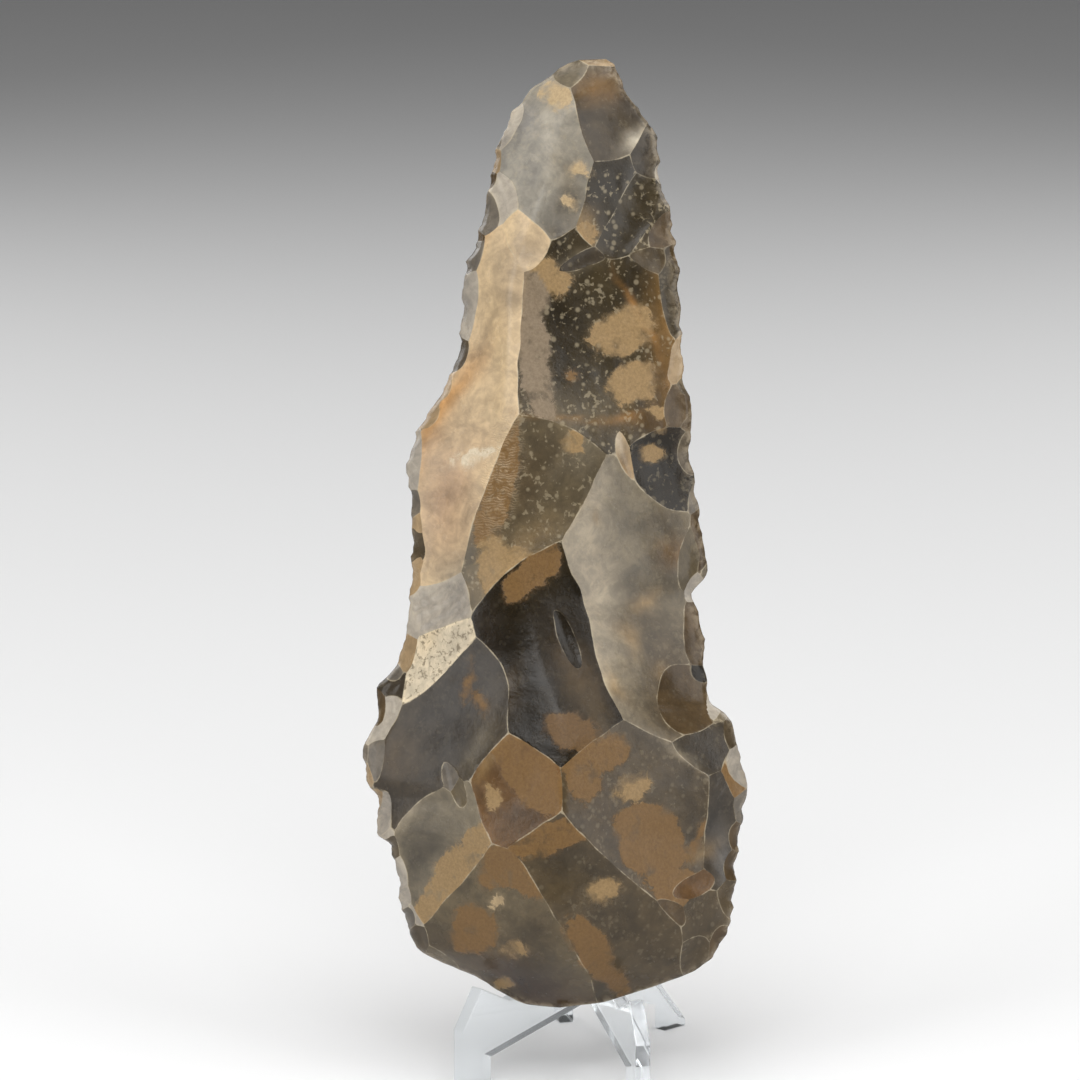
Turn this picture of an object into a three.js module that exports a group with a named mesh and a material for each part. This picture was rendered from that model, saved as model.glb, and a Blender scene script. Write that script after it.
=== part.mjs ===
// Flint hand axe standing point up in a small clear acrylic stand.
// Units are millimetres and +Z is up. The origin is on the floor under the middle of the part.
// The axe is built with its face across X and Z and its thickness along Y, and is then leaned back.
import * as THREE from 'three';

// --- the axe's driving sizes ---
const AXE_LENGTH = 200;
const LEAN = THREE.MathUtils.degToRad(12); // how far the axe leans back
const ROWS = 68; // rows of vertices from butt to point
const COLUMNS = 19; // columns of vertices from the left edge to the right
const SECTION_POWER = 1.45; // 2 is a round section, 1 a rhombus
const BUTT_ROUNDING = { height: 24, power: 2.3 };
const POINT_ROUNDING = { height: 12, power: 1.7 };

// The sharp edge that both faces share: [height, place across].
const LEFT_EDGE = [
  [0, -3], [0.4, -6], [2.5, -10.6], [5.7, -15.8], [9.5, -24.3], [12.7, -30], [19, -32.5],
  [34, -35.3], [37, -37.8], [43.5, -37.8], [48.5, -40.5], [54, -41], [62, -38], [67, -38],
  [71, -35], [80, -32], [91, -30.6], [107, -30.6], [114, -32], [119, -30.2], [125, -27.5],
  [135, -22], [142, -20.3], [155.5, -19.4], [161, -17.3], [171.5, -14.6], [179, -13.3],
  [189, -9.3], [190.5, -7.6], [194, -5], [196.3, -1.5], [198.8, 1.7], [200, 5],
];
const RIGHT_EDGE = [
  [0, 1], [0.5, 5], [1, 9.5], [2.5, 14.6], [5.7, 24.3], [7.4, 28.5], [11.6, 34.4],
  [19.4, 37.6], [34, 39], [46, 40.8], [51, 40], [57.5, 38.4], [62, 35.8], [64.5, 33.3],
  [71, 32], [80, 31.3], [86, 29.4], [92, 32.3], [107, 30.4], [119, 28.5], [125, 29.4],
  [135, 27.2], [150, 26.8], [166.5, 24.9], [175, 22.6], [183, 21.6], [187.5, 19],
  [192, 15.8], [196, 13.7], [198.7, 12.7], [200, 10.6],
];

// The thickest line of the blank: [height, place across, thickness in front, thickness behind].
const CREST = [
  [0, 0, 20, 18], [30, 2, 22, 20], [55, 2, 21.5, 19.5], [75, -4, 18, 17], [100, -9, 15.5, 14],
  [125, -10, 14, 12.5], [150, -9, 12, 10.5], [170, -3, 9.5, 8.5], [190, 3, 7, 6], [200, 6, 6, 5],
];

// Flake scars: [place across, height, length, width, turn of the length from level, depth].
// Each is a shallow bowl. Where two bowls meet, they leave a sharp ridge.
const FRONT_SCARS = {
  tipLeft: [3.2, 197.2, 9, 7, 30, 1.1],
  tipTop: [9, 200, 12, 4, -4, 1],
  blade: [-2.5, 181, 40, 19, 97, 2.1],
  tipRight: [11.5, 187.5, 25, 15, 108, 2],
  darkUpper: [15, 169, 30, 20, 60, 2.2],
  upperMiddle: [10, 141, 50, 38, 100, 2.5],
  squareRight: [23, 113, 21, 19, 95, 1.8],
  middle: [-5.5, 105, 43, 27, 57, 2.1],
  splinter: [14.2, 117, 24, 4.6, 105, 1],
  smoothRight: [17, 85, 64, 37, 105, 3],
  darkHollow: [1, 77.5, 62, 30, 101, 2.4],
  leftGrey: [-24, 57, 46, 22, 52, 2.1],
  leftLow: [-24, 35, 34, 20, 84, 2],
  brownMiddle: [-8, 47, 23, 20, 72, 1.6],
  brownRight: [17, 43, 45, 31, 122, 2.5],
  greyButt: [10, 21, 50, 23, 127, 2],
  leftButt: [-10, 15, 40, 30, 130, 2.2],
  rightWedge: [30, 55, 16, 11, 3, 1],
  rightHollow: [35, 36, 27, 11, 89, 1.2],
  rightChip: [38, 49, 14, 5, 99, 0.7],
  rightButt: [33, 18, 19, 11, 76, 1],
  longLeft: [-19, 123, 84, 19, 78, 2.6],
  creamChip: [-6, 161, 15, 10, 109, 0.9],
  rippled: [-25, 87, 19, 14, 62, 1],
  cortex: [-26, 71, 24, 12, 67, 0.9],
  leftDark: [-35, 65, 30, 8, 79, 0.8],
  leftMargin: [-33, 28, 40, 5, 105, 0.6],
  shellChip: [-11, 171, 16, 8, 55, 0.8],
};
const BACK_SCARS = {
  tip: [6, 192, 22, 14, 80, 1.6],
  tipEdge: [-6, 180, 26, 11, 70, 1.4],
  upperLeft: [-9, 158, 34, 17, 100, 1.8],
  upperRight: [13, 165, 40, 20, 85, 2.2],
  midRight: [15, 130, 44, 26, 70, 2.4],
  midLeft: [-14, 128, 42, 22, 110, 2.2],
  centre: [2, 104, 40, 22, 40, 2],
  right: [20, 93, 42, 24, 120, 2.4],
  left: [-21, 92, 40, 22, 60, 2.2],
  hollow: [-2, 74, 42, 25, 20, 2.4],
  lowRight: [24, 56, 40, 26, 55, 2.4],
  lowLeft: [-26, 60, 36, 24, 125, 2.2],
  buttMiddle: [0, 44, 36, 28, 95, 1.8],
  buttLeft: [-22, 27, 40, 24, 140, 2.2],
  buttRight: [21, 22, 42, 26, 35, 2.4],
  buttBottom: [-2, 12, 34, 20, 5, 1.8],
};

// Small late chips, struck into the scars: the depth is below the older surface.
const FRONT_CHIPS = {
  blueChip: [19.2, 177, 10, 6, 78, 0.6],
  rightScallop: [24.2, 148, 18, 7, 84, 0.7],
  brownCurl: [26.2, 67.5, 12, 10, 100, 0.8],
  rightFlutes: [30, 97, 20, 4.5, 86, 0.7],
  rightLowerFlake: [29.5, 79, 14, 5, 95, 0.6],
  leftUpperFlake: [-17.6, 157, 12, 5, 78, 0.6],
  leftBulge: [-30, 113, 17, 5, 94, 0.7],
};
const BACK_CHIPS = {
  middleFlake: [25, 140, 14, 6, 85, 0.7],
  sideFlake: [-27, 112, 16, 6, 95, 0.7],
  sideCurl: [27, 104, 13, 7, 100, 0.7],
  lowFlake: [-33, 74, 16, 7, 80, 0.7],
  corner: [34, 36, 16, 7, 85, 0.7],
};

// The smallest chips, of the last trimming, follow each other along both edges.
const TRIM = {
  step: 6.5, length: 8, width: 5, depth: 0.7, inset: 0.8, notch: 0.6, from: 14, to: 190,
};
const EDGE_WANDER = [{ size: 1.3, wave: 11, shift: 1 }, { size: 1.1, wave: 27, shift: 2.2 }];
const THIN_EDGE = 2.2; // near the edge, where the stone is thinner than this, scars run out
const LEAST_STONE = 0.25; // share of the blank that no scar goes below
const ROWS_TOWARDS_ENDS = 0.72; // 0 spaces the rows evenly, 1 crowds them at butt and point
const COLUMNS_TOWARDS_EDGES = 0.35; // the same for the columns and the two edges
const NEAREST_CUT = 0.14; // how near to a vertex a ridge may cut a side, as a share of the side

// --- the stand: two like plates of clear sheet, slotted into each other under the axe ---
const SHEET = 3.2; // thickness of the sheet
const FIT = 0.3; // clearance between pieces that touch
const CROSSING = { across: 8, back: 0 }; // where the two plates cross
const TURN = { left: THREE.MathUtils.degToRad(-45), right: THREE.MathUtils.degToRad(15) };
const FRONT_END = 40; // from the crossing to the front of a plate
const REAR_END = { place: -27.5, height: 1.5 };
const HORN = { place: 34.6, height: 21, shoulder: 12.7 }; // the lip that keeps the axe from sliding
const SEAT = { place: 26, height: 16.6 }; // lowest point of the notch that the edge sits in
const SEAT_BACK = { place: 8, height: 21 };
const ARM = { root: [-0.8, 23.5], front: [-4.9, 46], rear: [-13, 19] };
const ARM_TOP = { width: 3.6, bulge: 0.4, drop: 2.2 }; // the rounded end of an arm
const ARCH = { front: 32, rear: -21, spring: 5.5, crown: 11.6, flat: 3 };
const HALF_LAP = 17.5; // height where the slots of the two plates meet
const SLOT_MOUTH = { front: 23, rear: 29.5 }; // heights where a slot from above opens
const AXE_PLACE = { back: -22, up: 16 }; // where the butt of the axe stands

const flint = new THREE.MeshStandardMaterial({ color: 0x6f6757, roughness: 0.42, metalness: 0 });
const acrylic = new THREE.MeshStandardMaterial({
  color: 0xe8f0f4, roughness: 0.05, metalness: 0, transparent: true, opacity: 0.35,
});

// A smooth curve through rows of [height, value, ...] that never swings past its rows.
function along(rows, height, column = 1) {
  const last = rows.length - 2;
  const slope = (k) => (rows[k + 1][column] - rows[k][column]) / (rows[k + 1][0] - rows[k][0]);
  let i = 0;
  while (i < last && height > rows[i + 1][0]) i += 1;
  const tangent = (k) => {
    if (k === 0) return slope(0);
    if (k === rows.length - 1) return slope(last);
    const before = slope(k - 1);
    const after = slope(k);
    return before * after > 0 ? (2 * before * after) / (before + after) : 0;
  };
  const span = rows[i + 1][0] - rows[i][0];
  const t = THREE.MathUtils.clamp((height - rows[i][0]) / span, 0, 1);
  const rise = t * t * (3 - 2 * t);
  return rows[i][column] * (1 - rise) + rows[i + 1][column] * rise
    + span * t * (1 - t) * ((1 - t) * tangent(i) - t * tangent(i + 1));
}

// Repeatable scatter between 0 and 1.
function scatter(n) {
  const wave = Math.sin(n * 12.9898) * 43758.5453;
  return wave - Math.floor(wave);
}

// Trimming chips of one edge on one face.
function trimChips(edge, seed, outward) {
  const chips = [];
  for (let height = TRIM.from, n = seed; height < TRIM.to; n += 1) {
    const size = 0.6 + 0.7 * scatter(n);
    const sideways = along(edge, height) - outward * TRIM.inset;
    chips.push([sideways, height, TRIM.length * size, TRIM.width * size, 90, TRIM.depth * size]);
    height += TRIM.step * (0.6 + 0.9 * scatter(n + 0.5));
  }
  return chips;
}

const leftTrim = trimChips(LEFT_EDGE, 3, -1);
const rightTrim = trimChips(RIGHT_EDGE, 40, 1);

// The edge with the bites that the trimming took out of it.
function edgeAt(edge, trim, inward, height) {
  let sideways = along(edge, height);
  for (const [, middle, length] of trim) {
    const off = (height - middle) / (length / 2);
    if (Math.abs(off) < 1) sideways += inward * TRIM.notch * (1 - off * off);
  }
  return sideways;
}
const leftEdge = (height) => edgeAt(LEFT_EDGE, leftTrim, 1, height);
const rightEdge = (height) => edgeAt(RIGHT_EDGE, rightTrim, -1, height);

// The shared edge isn't flat: it wanders forwards and back.
function wander(height, side) {
  return EDGE_WANDER.reduce(
    (sum, { size, wave, shift }) => sum + size * Math.sin(height / wave + shift * side), 0,
  );
}

// How full the blank is near its ends.
function endRounding(height) {
  const up = Math.min(1, height / BUTT_ROUNDING.height);
  const down = Math.min(1, (AXE_LENGTH - height) / POINT_ROUNDING.height);
  return (1 - (1 - up) ** BUTT_ROUNDING.power) * (1 - (1 - down) ** POINT_ROUNDING.power);
}

// Level of one bowl against the blank. Its rim is at the level sunk, and its middle a depth below.
function bowl([sideways, height, length, width, turn, depth, sunk = 0], x, z) {
  const angle = THREE.MathUtils.degToRad(turn);
  const dx = x - sideways;
  const dz = z - height;
  const forward = (dx * Math.cos(angle) + dz * Math.sin(angle)) / (length / 2);
  const aside = (dz * Math.cos(angle) - dx * Math.sin(angle)) / (width / 2);
  return depth * (forward * forward + aside * aside - 1) + sunk;
}

// The scar that cuts deepest at a point.
function deepestScar(scars, x, z) {
  let deepest = 0;
  let level = Infinity;
  scars.forEach((scar, index) => {
    const here = bowl(scar, x, z);
    if (here < level) {
      level = here;
      deepest = index;
    }
  });
  return { deepest, level };
}

// All bowls of one face. A chip starts from the surface that the older scars left at its middle.
function scarsOf(scars, chips) {
  const older = Object.values(scars);
  const sunk = chips.map((chip) => deepestScar(older, chip[0], chip[1]).level);
  return [...older, ...chips.map((chip, index) => [...chip, sunk[index]])];
}
const frontScars = scarsOf(FRONT_SCARS, [...leftTrim, ...rightTrim, ...Object.values(FRONT_CHIPS)]);
const backScars = scarsOf(BACK_SCARS, [
  ...trimChips(LEFT_EDGE, 71, -1), ...trimChips(RIGHT_EDGE, 95, 1), ...Object.values(BACK_CHIPS),
]);

// Thickness of one face at a point, from the plane of the edge.
function thickness(face, x, z) {
  const left = leftEdge(z);
  const right = rightEdge(z);
  const crest = along(CREST, z, 1);
  const out = x < crest ? (crest - x) / (crest - left) : (x - crest) / (right - crest);
  const section = 1 - Math.min(1, Math.max(0, out)) ** SECTION_POWER;
  const blank = along(CREST, z, face.crestColumn) * endRounding(z) * section;
  const cut = deepestScar(face.scars, x, z).level * (blank / (blank + THIN_EDGE));
  return Math.max(blank + cut, LEAST_STONE * blank);
}

function pointOn(face, x, z) {
  const left = leftEdge(z);
  const right = rightEdge(z);
  const across = (x - left) / (right - left);
  const middle = wander(z, 1) * (1 - across) + wander(z, -1) * across;
  return new THREE.Vector3(x, middle + face.side * thickness(face, x, z), z);
}

// Builds both faces on one grid whose rim they share, and cuts the grid along the ridges.
function chippedStone(faces) {
  const points = [];
  const triangles = [];
  const onRim = (row, column) => row === 0 || row === ROWS || column === 0 || column === COLUMNS;
  const rim = new Map();

  for (const face of faces) {
    const grid = [];
    for (let row = 0; row <= ROWS; row += 1) {
      const turn = (row / ROWS) * 2 * Math.PI;
      const z = AXE_LENGTH * (turn - ROWS_TOWARDS_ENDS * Math.sin(turn)) / (2 * Math.PI);
      const left = leftEdge(z);
      const right = rightEdge(z);
      for (let column = 0; column <= COLUMNS; column += 1) {
        const key = `${row},${column}`;
        const even = column / COLUMNS;
        const crowded = 0.5 - 0.5 * Math.cos(even * Math.PI);
        const x = left + (right - left) * THREE.MathUtils.lerp(even, crowded, COLUMNS_TOWARDS_EDGES);
        const { deepest } = deepestScar(face.scars, x, z);
        if (onRim(row, column) && rim.has(key)) {
          grid.push({ index: rim.get(key), x, z, deepest, rim: true });
          continue;
        }
        grid.push({ index: points.length, x, z, deepest, rim: onRim(row, column) });
        if (onRim(row, column)) rim.set(key, points.length);
        points.push(pointOn(face, x, z));
      }
    }

    const crossings = new Map();
    const crossing = (a, b) => {
      if (a.deepest === b.deepest || (a.rim && b.rim)) return null;
      const key = a.index < b.index ? `${a.index},${b.index}` : `${b.index},${a.index}`;
      if (!crossings.has(key)) {
        const gap = (p) => bowl(face.scars[a.deepest], p.x, p.z)
          - bowl(face.scars[b.deepest], p.x, p.z);
        const start = gap(a);
        const end = gap(b);
        const t = THREE.MathUtils.clamp(start / (start - end), NEAREST_CUT, 1 - NEAREST_CUT);
        const x = a.x + (b.x - a.x) * t;
        const z = a.z + (b.z - a.z) * t;
        crossings.set(key, { index: points.length, x, z });
        points.push(pointOn(face, x, z));
      }
      return crossings.get(key);
    };
    const add = (a, b, c) => {
      const order = face.side < 0 ? [a, b, c] : [a, c, b];
      triangles.push(...order.map((corner) => corner.index));
    };
    // Splits a triangle where a ridge passes through its sides.
    const addCut = (corners) => {
      const cuts = corners.map((corner, k) => crossing(corner, corners[(k + 1) % 3]));
      const count = cuts.filter(Boolean).length;
      if (count === 0) {
        add(...corners);
      } else if (count === 3) {
        const x = (cuts[0].x + cuts[1].x + cuts[2].x) / 3;
        const z = (cuts[0].z + cuts[1].z + cuts[2].z) / 3;
        const middle = { index: points.length, x, z };
        points.push(pointOn(face, x, z));
        corners.forEach((corner, k) => {
          add(corner, cuts[k], middle);
          add(cuts[k], corners[(k + 1) % 3], middle);
        });
      } else {
        // Turned so that the first side is cut, and the last one isn't.
        const first = cuts.findIndex((cut, k) => cut && !cuts[(k + 2) % 3]);
        const [a, b, c] = [0, 1, 2].map((k) => corners[(first + k) % 3]);
        const ab = cuts[first];
        const bc = cuts[(first + 1) % 3];
        if (bc) {
          add(ab, b, bc);
          add(a, ab, bc);
          add(a, bc, c);
        } else {
          add(a, ab, c);
          add(ab, b, c);
        }
      }
    };
    for (let row = 0; row < ROWS; row += 1) {
      for (let column = 0; column < COLUMNS; column += 1) {
        const at = (up, over) => grid[(row + up) * (COLUMNS + 1) + column + over];
        const rising = at(0, 0).deepest === at(1, 1).deepest;
        if (rising) {
          addCut([at(0, 0), at(0, 1), at(1, 1)]);
          addCut([at(0, 0), at(1, 1), at(1, 0)]);
        } else {
          addCut([at(0, 0), at(0, 1), at(1, 0)]);
          addCut([at(0, 1), at(1, 1), at(1, 0)]);
        }
      }
    }
  }

  const geometry = new THREE.BufferGeometry().setFromPoints(points);
  geometry.setIndex(triangles);
  return geometry;
}

// Outline of one plate: x is the distance from the crossing towards the front, y is up.
function plateOutline(slotFromBelow) {
  const plateAngle = TURN.right - TURN.left;
  const slot = (SHEET / Math.sin(plateAngle) + SHEET / Math.tan(plateAngle)) / 2 + FIT;
  const outline = new THREE.Shape();
  outline.moveTo(FRONT_END, 0);
  outline.lineTo(FRONT_END, HORN.shoulder);
  outline.lineTo(HORN.place, HORN.height);
  outline.lineTo(SEAT.place, SEAT.height);
  outline.lineTo(SEAT_BACK.place, SEAT_BACK.height);
  if (slotFromBelow) {
    outline.lineTo(...ARM.root);
  } else {
    outline.lineTo(slot, SLOT_MOUTH.front);
    outline.lineTo(slot, HALF_LAP - FIT / 2);
    outline.lineTo(-slot, HALF_LAP - FIT / 2);
    outline.lineTo(-slot, SLOT_MOUTH.rear);
  }
  const [tipPlace, tipHeight] = ARM.front;
  outline.lineTo(tipPlace, tipHeight);
  outline.quadraticCurveTo(
    tipPlace - ARM_TOP.bulge, tipHeight + ARM_TOP.width,
    tipPlace - ARM_TOP.width, tipHeight + ARM_TOP.width - ARM_TOP.drop,
  );
  outline.lineTo(...ARM.rear);
  outline.lineTo(REAR_END.place, REAR_END.height);
  outline.lineTo(REAR_END.place, 0);
  outline.lineTo(ARCH.rear, 0);
  outline.lineTo(ARCH.rear, ARCH.spring);
  outline.lineTo(slotFromBelow ? -slot : -ARCH.flat, ARCH.crown);
  if (slotFromBelow) {
    outline.lineTo(-slot, HALF_LAP + FIT / 2);
    outline.lineTo(slot, HALF_LAP + FIT / 2);
  }
  outline.lineTo(slotFromBelow ? slot : ARCH.flat, ARCH.crown);
  outline.lineTo(ARCH.front, ARCH.spring);
  outline.lineTo(ARCH.front, 0);
  outline.closePath();
  return outline;
}

function standPlate(name, turn, slotFromBelow) {
  const geometry = new THREE.ExtrudeGeometry(plateOutline(slotFromBelow), {
    depth: SHEET, bevelEnabled: false, curveSegments: 5,
  });
  geometry.translate(0, 0, -SHEET / 2);
  geometry.rotateX(Math.PI / 2); // up on the drawing becomes up in the room
  const plate = new THREE.Mesh(geometry, acrylic);
  plate.name = name;
  plate.position.set(CROSSING.across, CROSSING.back, 0);
  plate.rotation.z = turn - Math.PI / 2; // the front of the drawing points at the viewer
  return plate;
}

const handAxe = new THREE.Mesh(chippedStone([
  { side: -1, crestColumn: 2, scars: frontScars },
  { side: 1, crestColumn: 3, scars: backScars },
]), flint);
handAxe.name = 'hand_axe';
handAxe.rotation.x = -LEAN;
handAxe.position.set(0, AXE_PLACE.back, AXE_PLACE.up);

const model = new THREE.Group();
model.add(
  handAxe,
  standPlate('stand_plate_left', TURN.left, true),
  standPlate('stand_plate_right', TURN.right, false),
);

// The origin goes on the floor, under the middle of the whole part.
const room = new THREE.Box3().setFromObject(model, true);
const middle = room.getCenter(new THREE.Vector3());
model.position.set(-middle.x, -middle.y, -room.min.z);

export default model;
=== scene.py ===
"""A long flint hand axe, standing point up in a small clear stand."""

import math

import bpy
import numpy as np
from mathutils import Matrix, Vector


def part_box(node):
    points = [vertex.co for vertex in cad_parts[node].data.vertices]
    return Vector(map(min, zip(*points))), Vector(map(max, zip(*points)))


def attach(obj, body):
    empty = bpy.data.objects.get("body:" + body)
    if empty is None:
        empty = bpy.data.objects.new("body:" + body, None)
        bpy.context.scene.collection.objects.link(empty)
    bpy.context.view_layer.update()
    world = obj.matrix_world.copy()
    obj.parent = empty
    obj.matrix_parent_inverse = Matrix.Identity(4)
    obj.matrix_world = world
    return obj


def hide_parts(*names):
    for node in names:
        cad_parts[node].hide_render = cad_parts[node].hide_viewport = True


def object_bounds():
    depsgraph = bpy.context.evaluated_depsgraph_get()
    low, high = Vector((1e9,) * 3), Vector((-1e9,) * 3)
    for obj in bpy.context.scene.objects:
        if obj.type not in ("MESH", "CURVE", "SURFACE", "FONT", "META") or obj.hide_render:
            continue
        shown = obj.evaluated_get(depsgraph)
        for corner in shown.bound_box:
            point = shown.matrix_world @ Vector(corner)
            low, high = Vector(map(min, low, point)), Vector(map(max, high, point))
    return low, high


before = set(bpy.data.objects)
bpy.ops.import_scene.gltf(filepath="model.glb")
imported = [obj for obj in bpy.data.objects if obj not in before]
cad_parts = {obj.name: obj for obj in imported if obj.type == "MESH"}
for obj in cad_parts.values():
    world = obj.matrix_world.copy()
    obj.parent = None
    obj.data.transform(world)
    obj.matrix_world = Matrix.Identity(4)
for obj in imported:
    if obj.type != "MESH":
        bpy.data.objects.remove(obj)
cad_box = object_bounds()


# --- Hand axe: the blank -------------------------------------------------------------------------
# One nodule of flint, struck with a hammer stone into a long pointed blank with a thick round butt.
# Sizes are millimetres on the flat of the axe: x across, z up from the butt, y through it.
LENGTH = 200.0
LEAN = math.radians(12)  # how far the axe leans back
ROWS = 350
COLUMNS = 116
SECTION_POWER = 1.45  # 2 is a round section, 1 a rhombus
BUTT_ROUNDING = (24.0, 2.3)  # height and power
POINT_ROUNDING = (12.0, 1.7)
ROWS_TOWARDS_ENDS = 0.72  # 0 spaces the rows evenly, 1 crowds them at butt and point
COLUMNS_TOWARDS_EDGES = 0.35  # the same for the columns and the two edges
THIN_EDGE = 2.2  # where the stone is thinner than this, scars run out

# The edge that both faces share: (height, place across).
LEFT_EDGE = np.array([
    (0, -3), (0.4, -6), (2.5, -10.6), (5.7, -15.8), (9.5, -24.3), (12.7, -30), (19, -32.5),
    (34, -35.3), (37, -37.8), (43.5, -37.8), (48.5, -40.5), (54, -41), (62, -38), (67, -38),
    (71, -35), (80, -32), (91, -30.6), (107, -30.6), (114, -32), (119, -30.2), (125, -27.5),
    (135, -22), (142, -20.3), (155.5, -19.4), (161, -17.3), (171.5, -14.6), (179, -13.3),
    (189, -9.3), (190.5, -7.6), (194, -5), (196.3, -1.5), (198.8, 1.7), (200, 5),
])
RIGHT_EDGE = np.array([
    (0, 1), (0.5, 5), (1, 9.5), (2.5, 14.6), (5.7, 24.3), (7.4, 28.5), (11.6, 34.4),
    (19.4, 37.6), (34, 39), (46, 40.8), (51, 40), (57.5, 38.4), (62, 35.8), (64.5, 33.3),
    (71, 32), (80, 31.3), (86, 29.4), (92, 32.3), (107, 30.4), (119, 28.5), (125, 29.4),
    (135, 27.2), (150, 26.8), (166.5, 24.9), (175, 22.6), (183, 21.6), (187.5, 19),
    (192, 15.8), (196, 13.7), (198.7, 12.7), (200, 10.6),
])
# The thickest line: (height, place across, thickness in front, thickness behind).
CREST = np.array([
    (0, 0, 20, 18), (30, 2, 22, 20), (55, 2, 21.5, 19.5), (75, -4, 18, 17), (100, -9, 15.5, 14),
    (125, -10, 14, 12.5), (150, -9, 12, 10.5), (170, -3, 9.5, 8.5), (190, 3, 7, 6),
    (200, 6, 6, 5),
])
EDGE_WANDER = ((1.3, 11.0, 1.0), (1.1, 27.0, 2.2))  # size, wave, and how the sides differ
CHIPPED_RIM = 0.9  # the last strip of the edge, crushed and uneven
RIM_POWER = 0.7  # how bluntly that strip ends
SECTION_MARGIN = 0.5  # the smooth section ends this far outside the edge


def along(rows, height, column=1):
    """A smooth curve through rows of (height, value, ...) that never swings past them."""
    place, value = rows[:, 0], rows[:, column]
    slope = np.diff(value) / np.diff(place)
    before, after = slope[:-1], slope[1:]
    same_way = before * after > 0
    inner = np.where(same_way, 2 * before * after / np.where(same_way, before + after, 1), 0)
    tangent = np.concatenate([slope[:1], inner, slope[-1:]])
    step = np.clip(np.searchsorted(place, height, side="right") - 1, 0, len(rows) - 2)
    span = place[step + 1] - place[step]
    t = np.clip((height - place[step]) / span, 0, 1)
    rise = t * t * (3 - 2 * t)
    bend = span * t * (1 - t) * ((1 - t) * tangent[step] - t * tangent[step + 1])
    return value[step] * (1 - rise) + value[step + 1] * rise + bend


# --- Hand axe: the flake scars -------------------------------------------------------------------
# Each blow took off a flake and left a shallow bowl, and bowls meet in sharp ridges. A scar is
# (across, height, length, width, turn, depth, stone, speckle, ripple, blow across, blow height).
STONES = {
    "haze": (150, 149, 143),
    "ash": (128, 122, 108),
    "smoke": (88, 78, 61),
    "olive": (64, 56, 38),
    "moss": (106, 97, 78),
    "umber": (34, 27, 12),
    "slate": (72, 66, 57),
    "brown": (110, 84, 54),
    "earth": (92, 77, 55),
    "sand": (172, 152, 122),
    "cream": (214, 196, 168),
    "fresh": (184, 181, 175),
    "glass": (118, 114, 108),
    "rind": (240, 232, 212),
}
FRONT_SCARS = {
    "tip_left": (3.2, 197.2, 9, 7, 30, 1.1, "ash", 0.2, 0.0, -4, 196),
    "tip_top": (9, 200, 12, 4, -4, 1, "sand", 0.1, 0.0, 9, 202),
    "blade": (-2.5, 181, 40, 19, 97, 2.1, "haze", 0.35, 0.02, -12, 190),
    "tip_right": (11.5, 187.5, 25, 15, 108, 2, "smoke", 0.2, 0.03, 22, 198),
    "dark_upper": (15, 169, 30, 20, 60, 2.2, "olive", 1.0, 0.05, 28, 178),
    "upper_middle": (10, 141, 50, 38, 100, 2.5, "olive", 0.9, 0.02, 30, 140),
    "square_right": (23, 113, 21, 19, 95, 1.8, "umber", 0.35, 0.03, 32, 112),
    "middle": (-5.5, 105, 43, 27, 57, 2.1, "moss", 0.8, 0.02, -18, 90),
    "splinter": (14.2, 117, 25, 3.8, 105, 1, "sand", 0.3, 0.03, 14, 128),
    "smooth_right": (17, 85, 64, 37, 105, 3, "ash", 0.22, 0.03, 36, 76),
    "dark_hollow": (1, 77.5, 62, 30, 101, 2.4, "umber", 0.06, 0.02, -2, 50),
    "left_grey": (-24, 57, 46, 22, 52, 2.1, "slate", 0.08, 0.03, -42, 52),
    "left_low": (-24, 35, 34, 20, 84, 2, "ash", 0.1, 0.02, -38, 38),
    "brown_middle": (-8, 47, 23, 20, 72, 1.6, "brown", 0.1, 0.03, -22, 38),
    "brown_right": (17, 43, 45, 31, 122, 2.5, "smoke", 0.3, 0.03, 40, 30),
    "grey_butt": (10, 21, 50, 23, 127, 2, "smoke", 0.25, 0.03, 26, -2),
    "left_butt": (-10, 15, 40, 30, 130, 2.2, "moss", 0.12, 0.03, -12, -6),
    "right_wedge": (30, 55, 16, 11, 3, 1, "slate", 0.2, 0.04, 40, 58),
    "right_hollow": (35, 36, 27, 11, 89, 1.2, "slate", 0.1, 0.10, 46, 40),
    "right_chip": (38, 49, 14, 5, 99, 0.7, "sand", 0.1, 0.0, 42, 50),
    "right_butt": (33, 18, 19, 11, 76, 1, "smoke", 0.3, 0.05, 42, 12),
    "long_left": (-19, 123, 84, 19, 78, 2.6, "cream", 0.0, 0.01, -20, 90),
    "cream_chip": (-6, 161, 15, 10, 109, 0.9, "cream", 0.0, 0.0, -12, 160),
    "rippled": (-25, 87, 19, 14, 62, 1, "fresh", 0.0, 0.42, -34, 99),
    "cortex": (-26, 71, 24, 12, 67, 0.9, "rind", 0.0, 0.0, -30, 70),
    "left_dark": (-35, 65, 30, 8, 79, 0.8, "slate", 0.0, 0.22, -44, 74),
    "left_margin": (-33, 28, 40, 5, 105, 0.6, "fresh", 0.0, 0.08, -38, 30),
    "shell_chip": (-11, 171, 16, 8, 55, 0.8, "fresh", 0.0, 0.10, -20, 168),
}
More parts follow.
